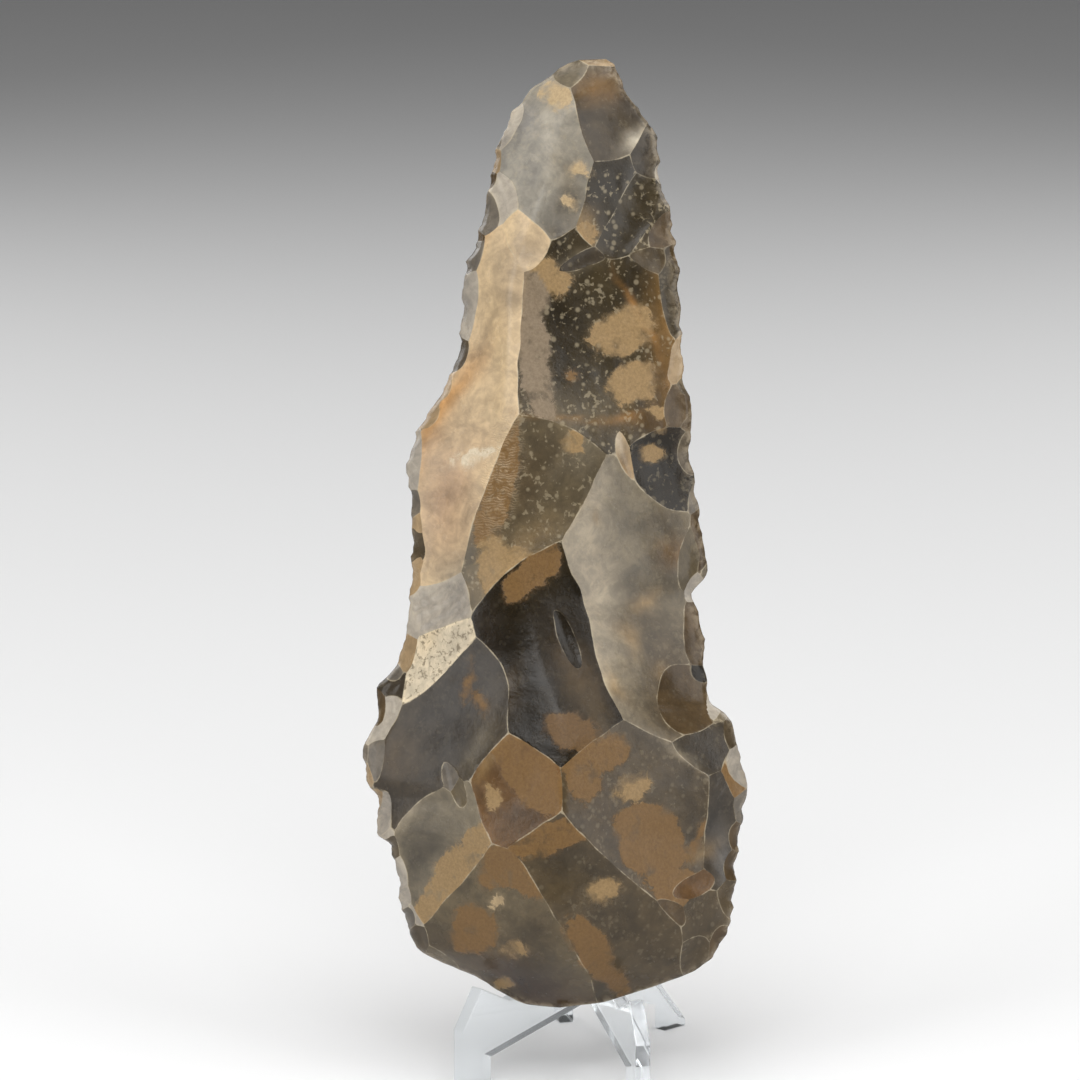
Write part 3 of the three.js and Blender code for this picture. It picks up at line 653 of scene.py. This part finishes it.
BACK_CLOUDS = (
    ("tip", "milk", 2, 188, 12, 6, 70, 0.4),
    ("upper_right", "light", 9, 168, 30, 8, 90, 0.5),
    ("upper_left", "umber", -8, 154, 20, 8, 100, 0.5),
    ("mid_right", "umber", 18, 128, 24, 10, 70, 0.5),
    ("mid_right", "ochre", 25, 136, 20, 6, 90, 0.5),
    ("mid_left", "rust", -20, 130, 26, 5, 100, 0.5),
    ("mid_left", "pink", -14, 118, 20, 10, 80, 0.5),
    ("right", "light", 14, 92, 36, 9, 110, 0.7),
    ("right", "earth", 28, 88, 24, 8, 90, 0.6),
    ("left", "char", -18, 94, 24, 9, 60, 0.7),
    ("hollow", "earth", 4, 76, 20, 9, 20, 0.5),
    ("low_right", "bark", 26, 52, 22, 10, 60, 0.6),
    ("low_left", "char", -30, 60, 20, 9, 120, 0.5),
    ("butt_middle", "light", 4, 52, 18, 5, 60, 0.4),
    ("butt_left", "light", -26, 30, 20, 6, 140, 0.4),
    ("butt_right", "wine", 20, 14, 26, 10, 30, 0.7),
)
BACK_BLOTS = (
    ("any", "tan", 9, 150, 14, 8, 60),
    ("mid_right", "ochre", 20, 121, 15, 8, 100),
    ("centre", "tan", -3, 99, 11, 8, 20),
    ("centre", "ochre", 6, 110, 8, 5, 60),
    ("low_right", "ochre", 24, 54, 18, 14, 40),
    ("butt_left", "ochre", -20, 33, 20, 11, 140),
    ("butt_right", "tan", 9, 19, 12, 7, 30),
    ("left", "tan", -26, 79, 10, 5, 90),
    ("hollow", "ochre", 1, 64, 9, 6, 0),
    ("upper_right", "butter", 9, 181, 6, 4, 0),
    ("tip", "butter", 6, 192, 5, 4, 40),
    ("butt_middle", "ochre", -4, 40, 14, 8, 10),
    ("right", "tan", 22, 82, 6, 5, 0),
    ("right", "tan", 17, 100, 5, 4, 0),
    ("low_left", "tan", -20, 54, 10, 6, 120),
    ("butt_bottom", "tan", -6, 12, 7, 4, 0),
    ("upper_left", "tan", -6, 163, 5, 4, 0),
)
DEPTH_OF_TONE = np.array([0.66, 0.61, 0.55])  # the gloss adds the rest
RIND = {"front": "cortex", "back": None}
COMB = (-11.6, 112, 27, 7.5, 78)  # fine lines pressed across the long arris
COMB_SHARE = 0.45  # the lines share a channel with the rind, below its values
CHIP_RIDGE = 0.4  # how much a small flake's ridge shows beside a main scar's
CLOUD_FALL = 1.1
CLOUD_BEND = ((1.6, 7, 41, 42), (0.5, 2.4, 43, 44))
STAIN_BEND = ((0.9, 4.5, 45, 46), (0.45, 1.7, 47, 48))
STAIN_SPAN = 5  # the stain layer holds this many mm from inside a blotch to outside
FAR_OUTSIDE = -9.0
RIDGE_REACH = 4.0  # how far from a ridge the material still feels it
THIN_RIM = 1.1  # stone about this thin is rubbed pale


def linear(tone):
    """Light that the stone sends back, from how a tone looks under the gloss."""
    share = np.array(TONES[tone]) / 255
    light = np.where(share < 0.04045, share / 12.92, ((share + 0.055) / 1.055) ** 2.4)
    return DEPTH_OF_TONE * light


def oval(shape, x, z):
    """Distance from an oval's middle, 1 at its rim."""
    across, height, length, width, turn = shape
    turn = math.radians(turn)
    dx, dz = x - across, z - height
    forward = (dx * math.cos(turn) + dz * math.sin(turn)) / (length / 2)
    aside = (dz * math.cos(turn) - dx * math.sin(turn)) / (width / 2)
    return np.hypot(forward, aside)


# Three layers: the stone's colour, with the painted highlights and shade of the clouds, and how
# speckled it is, the stain's colour and how far inside it a point is, and wear: distance from a
# ridge, thinness, rind or comb lines, strength of the ridge.
corner_point = triangles.ravel()
corner_x, corner_z = points[corner_point, 0], points[corner_point, 2]
corner_scar, corner_side = np.repeat(scar_of, 3), np.repeat(side_of, 3)
stone = np.zeros((corner_point.size, 4))
stain = np.zeros((corner_point.size, 4))
wear = np.ones((corner_point.size, 4))
TABLES = {"front": (FRONT_CLOUDS_AND_PAINTED_LIGHT, FRONT_BLOTS), "back": (BACK_CLOUDS, BACK_BLOTS)}
for name, (clouds, blots) in TABLES.items():
    face = FACES[name]
    here = corner_side == face["side"]
    x, z, scar = corner_x[here], corner_z[here], corner_scar[here]
    names = np.array(face["name_of"])[scar]
    colour = np.array([linear(entry[6]) for entry in face["all"]])[scar]
    bent_x, bent_z = bent(x, z, CLOUD_BEND)
    # Soft clouds of tone; a few of them are painted highlights and painted shade.
    for owner, tone, *shape, strength in clouds:
        share = strength * np.exp(-CLOUD_FALL * oval(shape, bent_x, bent_z) ** 2)
        if owner != "any":
            share = share * (names == owner)
        colour = colour + (linear(tone) - colour) * share[:, None]
    field = np.full(x.size, FAR_OUTSIDE)
    blot_colour = colour.copy()
    bent_x, bent_z = bent(x, z, STAIN_BEND)
    for owner, tone, *shape in blots:
        inside = (1 - oval(shape, bent_x, bent_z)) * min(shape[2:4]) / 2
        if owner != "any":
            inside = np.where(names == owner, inside, FAR_OUTSIDE)
        nearer = inside > field
        field = np.where(nearer, inside, field)
        blot_colour = np.where(nearer[:, None], linear(tone), blot_colour)
    speckle = np.array([entry[7] for entry in face["all"]])[scar]
    stone[here] = np.column_stack([colour, speckle])
    stain[here] = np.column_stack([blot_colour, np.clip(0.5 + field / STAIN_SPAN, 0, 1)])
    is_rind = names == RIND[name]
    comb = np.clip(1.4 - oval(COMB, bent_x, bent_z), 0, 1) * (name == "front")
    wear[here, 2] = np.where(is_rind, 1.0, COMB_SHARE * comb)
    wear[here, 3] = np.where(names == "chip", CHIP_RIDGE, 1.0)
wear[:, 0] = np.clip(ridge_gap[corner_point] / RIDGE_REACH, 0, 1)
wear[:, 1] = np.exp(-((blank_depth[corner_point] / THIN_RIM) ** 2))
for name, values in (("stone", stone), ("stain", stain), ("wear", wear)):
    layer = axe_mesh.color_attributes.new(name, "FLOAT_COLOR", "CORNER")
    layer.data.foreach_set("color", values.ravel())


# --- Hand axe: the flint -------------------------------------------------------------------------
# Waxy, half clear stone with pale specks. Stains lie in it as a granular skin, the ridges are pale,
# partly rubbed and partly a painted highlight, and the last of the nodule's rind is chalky and pitted.
def add_node(tree, kind, **settings):
    """A node with its settings, whose inputs are given by name as inputs={...}."""
    node = tree.nodes.new(kind)
    for name, value in settings.pop("inputs", {}).items():
        socket = node.inputs[name]
        if isinstance(value, bpy.types.NodeSocket):
            tree.links.new(value, socket)
        else:
            socket.default_value = value
    for name, value in settings.items():
        setattr(node, name, value)
    return node


def math_node(tree, operation, first, second=0.0):
    node = add_node(tree, "ShaderNodeMath", operation=operation, inputs={0: first, 1: second})
    return node.outputs[0]


def mix_colour(tree, share, under, over, blend="MIX"):
    node = tree.nodes.new("ShaderNodeMix")
    node.data_type = "RGBA"
    node.blend_type = blend
    for socket, value in ((node.inputs[0], share), (node.inputs[6], under), (node.inputs[7], over)):
        if isinstance(value, bpy.types.NodeSocket):
            tree.links.new(value, socket)
        else:
            socket.default_value = value
    return node.outputs[2]


def ramp(tree, value, low, high):
    """0 below low, 1 above high, and smooth between."""
    node = add_node(tree, "ShaderNodeMapRange", interpolation_type="SMOOTHSTEP",
                    inputs={"Value": value, "From Min": low, "From Max": high})
    return node.outputs["Result"]


def noise(tree, vector, scale, detail=3.0, rough=0.55, distortion=0.0):
    node = add_node(tree, "ShaderNodeTexNoise",
                    inputs={"Vector": vector, "Scale": scale, "Detail": detail,
                            "Roughness": rough, "Distortion": distortion})
    return node.outputs["Fac"]


def product(tree, *factors):
    total = factors[0]
    for factor in factors[1:]:
        total = math_node(tree, "MULTIPLY", total, factor)
    return total


SPECK_TONE = (0.34, 0.28, 0.18, 1)
COMB_TONE = (0.42, 0.31, 0.18, 1)
CRUSHED_TONE = (0.46, 0.39, 0.27, 1)
EDGE_TONE = (0.46, 0.38, 0.27, 1)
PIT_TONE = (0.15, 0.12, 0.075, 1)
flint = bpy.data.materials.new("flint")
flint.use_nodes = True
tree = flint.node_tree
shader = tree.nodes["Principled BSDF"]
place = add_node(tree, "ShaderNodeTexCoord").outputs["Object"]
# The stone layer holds the stone's colour together with the clouds' painted highlights and shade.
stone_in = add_node(tree, "ShaderNodeVertexColor", layer_name="stone").outputs
stain_in = add_node(tree, "ShaderNodeVertexColor", layer_name="stain").outputs
wear_in = add_node(tree, "ShaderNodeVertexColor", layer_name="wear").outputs
wear_parts = add_node(tree, "ShaderNodeSeparateColor", inputs={"Color": wear_in["Color"]}).outputs
from_ridge = wear_parts["Red"]
thin_rim = wear_parts["Green"]
rind = ramp(tree, wear_parts["Blue"], 0.6, 0.8)
comb = product(tree, math_node(tree, "SUBTRACT", wear_parts["Blue"], rind), 2.2)

# The stone itself: cloudy at two sizes.
clouds = ramp(tree, noise(tree, place, 90.0, detail=6.0, rough=0.62, distortion=0.8), 0.32, 0.68)
cloudy = mix_colour(tree, clouds, (0.74, 0.74, 0.75, 1), (1.22, 1.21, 1.18, 1))
colour = mix_colour(tree, 1.0, stone_in["Color"], cloudy, "MULTIPLY")
mottle = noise(tree, place, 420.0, detail=5.0, rough=0.66, distortion=0.5)
mottled = mix_colour(tree, ramp(tree, mottle, 0.34, 0.66), (0.86, 0.86, 0.86, 1), (1.11, 1.10, 1.08, 1))
colour = mix_colour(tree, 1.0, colour, mottled, "MULTIPLY")

# Pale specks, torn ones and round ones, dense where the scar's speckle says so.
flecks = noise(tree, place, 900.0, detail=2.0, rough=0.5, distortion=0.3)
fleck_bed = noise(tree, place, 150.0, rough=0.6)
fleck = math_node(tree, "ADD", flecks, product(tree, fleck_bed, 0.45))
fleck = ramp(tree, fleck, 0.82, 0.92)
dots = add_node(tree, "ShaderNodeTexVoronoi", inputs={"Vector": place, "Scale": 420.0}).outputs
dot_size = product(tree, noise(tree, place, 210.0, detail=2.0), 0.44)
dot = ramp(tree, math_node(tree, "SUBTRACT", dot_size, dots["Distance"]), -0.05, 0.14)
speck = product(tree, math_node(tree, "MAXIMUM", fleck, dot), stone_in["Alpha"])
colour = mix_colour(tree, product(tree, speck, 0.5), colour, SPECK_TONE)

# Stains: a ragged rim with islands, grainy inside, and thin in places.
tear = noise(tree, place, 430.0, detail=8.0, rough=0.72, distortion=0.8)
islands = product(tree, math_node(tree, "SUBTRACT", tear, 0.5), 0.85)
stain_field = math_node(tree, "ADD", stain_in["Alpha"], islands)
crisp = ramp(tree, stain_field, 0.46, 0.55)
faint = ramp(tree, stain_field, 0.30, 0.85)
broken = ramp(tree, noise(tree, place, 130.0, detail=2.0), 0.40, 0.56)
stained = math_node(tree, "ADD", product(tree, crisp, broken), faint)
stained = math_node(tree, "MINIMUM", stained, 1.0)
grain = noise(tree, place, 1700.0, detail=5.0, rough=0.65)
grain_tone = mix_colour(tree, ramp(tree, grain, 0.3, 0.7), (0.84, 0.82, 0.79, 1), (1.12, 1.12, 1.12, 1))
stain_tone = mix_colour(tree, 1.0, stain_in["Color"], grain_tone, "MULTIPLY")
thick = ramp(tree, noise(tree, place, 260.0, detail=4.0, rough=0.6, distortion=0.4), 0.25, 0.65)
cover = product(tree, stained, math_node(tree, "ADD", thick, 0.42))
cover = math_node(tree, "MINIMUM", cover, 0.92)
colour = mix_colour(tree, cover, colour, stain_tone)

# Fine lines across the arris.
lines = add_node(tree, "ShaderNodeTexWave", bands_direction="Z",
                 inputs={"Vector": place, "Scale": 520.0, "Distortion": 14.0, "Detail": 3.0,
                         "Detail Scale": 0.8}).outputs["Fac"]
comb_line = product(tree, lines, comb, ramp(tree, mottle, 0.38, 0.58))
colour = mix_colour(tree, product(tree, comb_line, 0.5), colour, COMB_TONE)

# A hair line of crushed stone runs along each ridge, with a paler band beside it that is partly rubbed
# stone and partly a painted highlight.
rub = noise(tree, place, 240.0, detail=5.0, rough=0.62)
line_width = math_node(tree, "ADD", product(tree, rub, 0.13), -0.030)
beyond = ramp(tree, math_node(tree, "DIVIDE", from_ridge, line_width), 0.35, 1.0)
hair = math_node(tree, "SUBTRACT", 1.0, beyond)
rub_and_sheen_band = math_node(tree, "SUBTRACT", 1.0, ramp(tree, from_ridge, 0.0, 0.25))
rub_and_sheen_band = product(tree, rub_and_sheen_band, wear_in["Alpha"], ramp(tree, rub, 0.32, 0.68))
rub_and_sheen_tone = mix_colour(tree, 1.0, colour, (1.45, 1.40, 1.30, 1), "MULTIPLY")
colour = mix_colour(tree, product(tree, rub_and_sheen_band, 0.45), colour, rub_and_sheen_tone)
rubbed = product(tree, ramp(tree, rub, 0.36, 0.66), wear_in["Alpha"])
colour = mix_colour(tree, product(tree, hair, rubbed, 0.6), colour, CRUSHED_TONE)
edge = product(tree, thin_rim, ramp(tree, mottle, 0.40, 0.62))
colour = mix_colour(tree, product(tree, edge, 0.5), colour, EDGE_TONE)

# Pits of the rind are dark.
pits = noise(tree, place, 850.0, detail=5.0, rough=0.7, distortion=0.4)
pit = product(tree, ramp(tree, pits, 0.53, 0.62), rind)
colour = mix_colour(tree, product(tree, pit, 0.75), colour, PIT_TONE)
tree.links.new(colour, shader.inputs["Base Color"])

# The stone is glossy, stains are duller and the rind is dull.
rough = math_node(tree, "ADD", product(tree, noise(tree, place, 190.0, detail=4.0), 0.24), 0.13)
rough = math_node(tree, "ADD", rough, product(tree, cover, 0.13))
rough = math_node(tree, "ADD", rough, product(tree, rind, 0.45))
tree.links.new(rough, shader.inputs["Roughness"])
shader.inputs["IOR"].default_value = 1.54
shader.inputs["Specular IOR Level"].default_value = 0.26

relief = product(tree, noise(tree, place, 1500.0, detail=5.0, rough=0.6), 0.35)
relief = math_node(tree, "ADD", relief, product(tree, grain, cover, 0.5))
relief = math_node(tree, "ADD", relief, product(tree, pit, -1.8))
relief = math_node(tree, "ADD", relief, product(tree, comb_line, 0.9))
relief = math_node(tree, "ADD", relief, product(tree, noise(tree, place, 300.0), 0.8))
bump = add_node(tree, "ShaderNodeBump", inputs={"Strength": 0.4, "Distance": 0.0003, "Height": relief})
tree.links.new(bump.outputs["Normal"], shader.inputs["Normal"])
axe_mesh.materials.append(flint)

hand_axe = bpy.data.objects.new("hand_axe_flaked", axe_mesh)
bpy.context.scene.collection.objects.link(hand_axe)
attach(hand_axe, "root")
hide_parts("hand_axe")


# --- Stand: the two plates -----------------------------------------------------------------------
# Clear acrylic sheet, cut with a laser and flame polished, slotted into each other under the axe.
acrylic = bpy.data.materials.new("clear acrylic")
acrylic.use_nodes = True
acrylic_shader = acrylic.node_tree.nodes["Principled BSDF"]
acrylic_shader.inputs["Base Color"].default_value = (0.95, 0.98, 1.0, 1)
acrylic_shader.inputs["Transmission Weight"].default_value = 0.9
acrylic_shader.inputs["IOR"].default_value = 1.1
acrylic_shader.inputs["Coat Weight"].default_value = 0.7
# Handling has dulled the polish in patches.
tree = acrylic.node_tree
place = add_node(tree, "ShaderNodeTexCoord").outputs["Object"]
dull = ramp(tree, noise(tree, place, 160.0, detail=4.0), 0.4, 0.8)
dull = math_node(tree, "ADD", product(tree, dull, 0.06), 0.02)
tree.links.new(dull, acrylic_shader.inputs["Roughness"])

EDGE_RADIUS = 0.0003
SAME_POINT = 0.00001
FLAT_WITHIN = math.radians(2)
for side in ("left", "right"):
    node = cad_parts[f"stand_plate_{side}"]
    plate_mesh = node.data.copy()
    plate = bpy.data.objects.new(f"clear_plate_{side}", plate_mesh)
    bpy.context.scene.collection.objects.link(plate)
    plate_mesh.materials.clear()
    plate_mesh.materials.append(acrylic)
    weld = plate.modifiers.new("weld", "WELD")
    weld.merge_threshold = SAME_POINT
    flats = plate.modifiers.new("flats", "DECIMATE")
    flats.decimate_type = "DISSOLVE"
    flats.angle_limit = FLAT_WITHIN
    round_edge = plate.modifiers.new("round edge", "BEVEL")
    round_edge.width = EDGE_RADIUS
    round_edge.segments = 2
    round_edge.limit_method = "ANGLE"
    view = bpy.context.evaluated_depsgraph_get()
    finished = bpy.data.meshes.new_from_object(plate.evaluated_get(view))
    plate.modifiers.clear()
    plate.data = finished
    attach(plate, "root")
    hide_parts(f"stand_plate_{side}")


# --- Floor, light and camera ---------------------------------------------------------------------
# A pale paper floor, a tall soft light on each side, one high in front, one above, two behind.
low, high = (Vector(corner) for corner in cad_box)
FLOOR = 6.0
floor_mesh = bpy.data.meshes.new("floor")
floor_corners = [(-FLOOR, -FLOOR, 0), (FLOOR, -FLOOR, 0), (FLOOR, FLOOR, 0), (-FLOOR, FLOOR, 0)]
floor_mesh.from_pydata(floor_corners, [], [(0, 1, 2, 3)])
floor = bpy.data.objects.new("floor", floor_mesh)
bpy.context.scene.collection.objects.link(floor)
paper = bpy.data.materials.new("pale floor")
paper.use_nodes = True
paper_shader = paper.node_tree.nodes["Principled BSDF"]
paper_shader.inputs["Base Color"].default_value = (0.83, 0.83, 0.83, 1)
paper_shader.inputs["Roughness"].default_value = 0.7
floor_mesh.materials.append(paper)

world = bpy.data.worlds.new("soft room")
world.use_nodes = True
room_light = world.node_tree.nodes["Background"]
room_light.inputs["Color"].default_value = (0.5, 0.5, 0.5, 1)
room_light.inputs["Strength"].default_value = 0.22
bpy.context.scene.world = world
bpy.context.scene.view_settings.view_transform = "Standard"

# Each light: name, direction from the axe, distance, width, height, power.
AIM_HEIGHT = 0.11
LIGHTS = (
    ("left_softbox", (-0.85, -0.55, 0.30), 1.0, 0.5, 1.1, 4.8),
    ("right_softbox", (0.85, -0.50, 0.30), 1.0, 0.5, 1.1, 4.8),
    ("front_softbox", (0.0, -0.75, 0.75), 1.2, 0.9, 0.5, 6.2),
    ("top_softbox", (0.0, -0.15, 1.0), 1.0, 1.2, 0.8, 7.0),
    ("left_rear_softbox", (-0.7, 0.8, 0.45), 1.2, 0.6, 0.8, 3.5),
    ("right_rear_softbox", (0.7, 0.8, 0.45), 1.2, 0.6, 0.8, 3.5),
)
aim = Vector((low.x + high.x, low.y + high.y, 0)) / 2 + Vector((0, 0, AIM_HEIGHT))
for name, direction, distance, width, height, power in LIGHTS:
    lamp = bpy.data.lights.new(name, "AREA")
    lamp.shape = "RECTANGLE"
    lamp.size = width
    lamp.size_y = height
    lamp.energy = power
    lamp_object = bpy.data.objects.new(name, lamp)
    lamp_object.location = aim + Vector(direction).normalized() * distance
    lamp_object.rotation_euler = (-Vector(direction)).to_track_quat("-Z", "Y").to_euler()
    bpy.context.scene.collection.objects.link(lamp_object)

# Square to the flat of the axe, a little above it, with the stand's feet just out of the picture.
VIEW_WIDTH = 0.2281
DISTANCE = 1.3
VIEW_MIDDLE = (-3.2, 98.6)  # on the flat of the axe: across, and up from the butt
SENSOR = 36
across, up = VIEW_MIDDLE
target = Vector((across, up * math.sin(LEAN), up * math.cos(LEAN))) * 0.001
target += Vector(offset)
toward = Vector((0, -math.cos(LEAN), math.sin(LEAN)))
lens = bpy.data.cameras.new("camera")
lens.sensor_width = SENSOR
lens.lens = SENSOR * DISTANCE / VIEW_WIDTH
camera = bpy.data.objects.new("camera", lens)
camera.location = target + toward * DISTANCE
camera.rotation_euler = (-toward).to_track_quat("-Z", "Y").to_euler()
bpy.context.scene.collection.objects.link(camera)
bpy.context.scene.camera = camera
